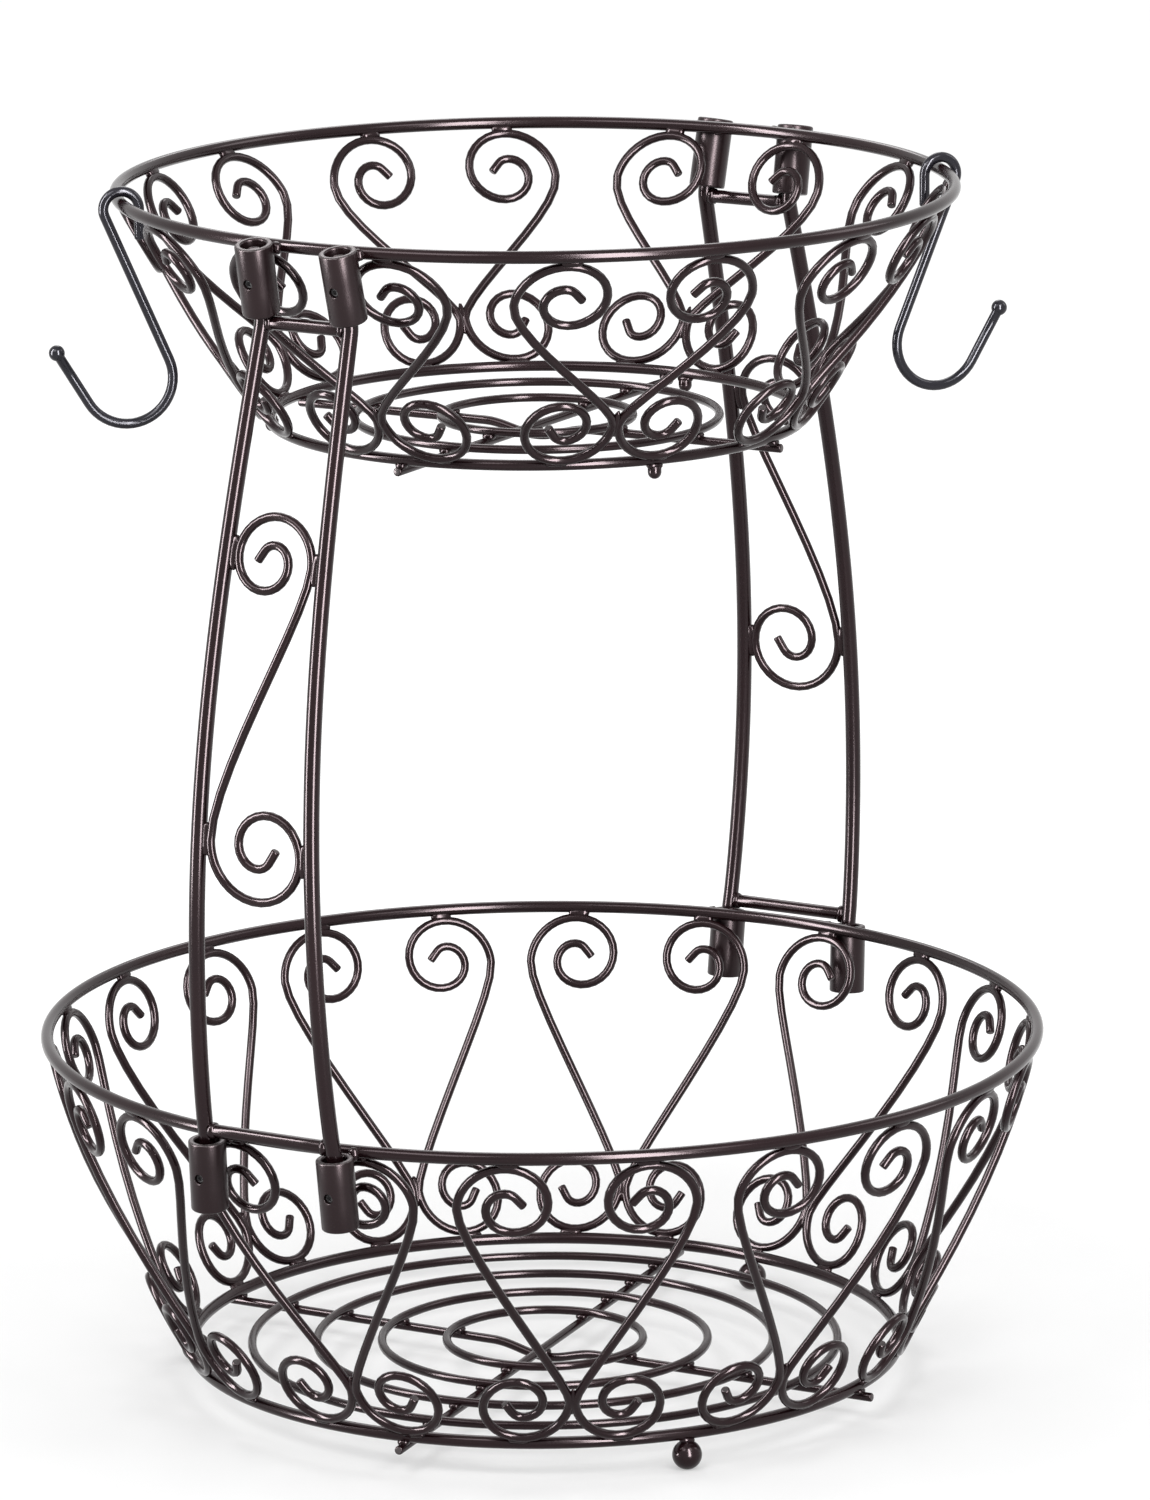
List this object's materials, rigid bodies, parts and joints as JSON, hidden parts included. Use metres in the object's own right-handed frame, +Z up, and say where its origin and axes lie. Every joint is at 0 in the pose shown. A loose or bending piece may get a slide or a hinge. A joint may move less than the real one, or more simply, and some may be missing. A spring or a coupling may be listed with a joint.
{
  "type": "two-tier wire fruit basket",
  "caption": "Two round wire bowls, one above the other, joined by two tapering ladders, with scroll walls and loose hooks on the upper rim.",
  "frame": {"origin": "on the surface that the basket stands on, on the bowls' common axis", "axes": "+Z up along the bowls' axis; the ladders stand at -Y (front) and +Y (back); +X to the right seen from the front"},
  "size_m": [0.3134, 0.339, 0.3839],
  "materials": {
    "bronze_coat": "semi-gloss dark bronze powder coat on steel wire",
    "hook_coat": "semi-gloss blue-black powder coat on steel wire"
  },
  "bodies": {
    "stand": {"back_ladder_high_crossbar": "bronze_coat", "back_ladder_left_post": "bronze_coat", "back_ladder_low_crossbar": "bronze_coat", "back_ladder_right_post": "bronze_coat", "back_ladder_scroll": "bronze_coat", "front_ladder_high_crossbar": "bronze_coat", "front_ladder_left_post": "bronze_coat", "front_ladder_low_crossbar": "bronze_coat", "front_ladder_right_post": "bronze_coat", "front_ladder_scroll": "bronze_coat", "lower_ball_foot_1": "bronze_coat", "lower_ball_foot_2": "bronze_coat", "lower_ball_foot_3": "bronze_coat", "lower_base_ring": "bronze_coat", "lower_cross_wire_1": "bronze_coat", "lower_cross_wire_2": "bronze_coat", "lower_floor_ring_1": "bronze_coat", "lower_floor_ring_2": "bronze_coat", "lower_floor_ring_3": "bronze_coat", "lower_floor_ring_4": "bronze_coat", "lower_rim": "bronze_coat", "lower_scroll_pair_01": "bronze_coat", "lower_scroll_pair_02": "bronze_coat", "lower_scroll_pair_03": "bronze_coat", "lower_scroll_pair_04": "bronze_coat", "lower_scroll_pair_05": "bronze_coat", "lower_scroll_pair_06": "bronze_coat", "lower_scroll_pair_07": "bronze_coat", "lower_scroll_pair_08": "bronze_coat", "lower_scroll_pair_09": "bronze_coat", "lower_scroll_pair_10": "bronze_coat", "lower_scroll_pair_11": "bronze_coat", "lower_socket_back_left": "bronze_coat", "lower_socket_back_right": "bronze_coat", "lower_socket_front_left": "bronze_coat", "lower_socket_front_right": "bronze_coat", "upper_base_ring": "bronze_coat", "upper_cross_wire_1": "bronze_coat", "upper_cross_wire_2": "bronze_coat", "upper_floor_ring_1": "bronze_coat", "upper_floor_ring_2": "bronze_coat", "upper_peg_1": "bronze_coat", "upper_peg_2": "bronze_coat", "upper_peg_3": "bronze_coat", "upper_rim": "bronze_coat", "upper_scroll_pair_01": "bronze_coat", "upper_scroll_pair_02": "bronze_coat", "upper_scroll_pair_03": "bronze_coat", "upper_scroll_pair_04": "bronze_coat", "upper_scroll_pair_05": "bronze_coat", "upper_scroll_pair_06": "bronze_coat", "upper_scroll_pair_07": "bronze_coat", "upper_scroll_pair_08": "bronze_coat", "upper_socket_back_left": "bronze_coat", "upper_socket_back_right": "bronze_coat", "upper_socket_front_left": "bronze_coat", "upper_socket_front_right": "bronze_coat"},
    "hook_1": {"hook_1": "hook_coat"},
    "hook_2": {"hook_2": "hook_coat"}
  },
  "joints": [
    {"name": "hook_1_swing", "type": "hinge", "parent": "stand", "child": "hook_1", "pos_m": [0.09321, 0.08845, 0.3785], "axis": [0.6884, -0.7254, 0], "range_deg": [-12, 90]},
    {"name": "hook_2_swing", "type": "hinge", "parent": "stand", "child": "hook_2", "pos_m": [-0.09398, -0.08764, 0.3785], "axis": [-0.682, 0.7314, 0], "range_deg": [-12, 90]}
  ]
}
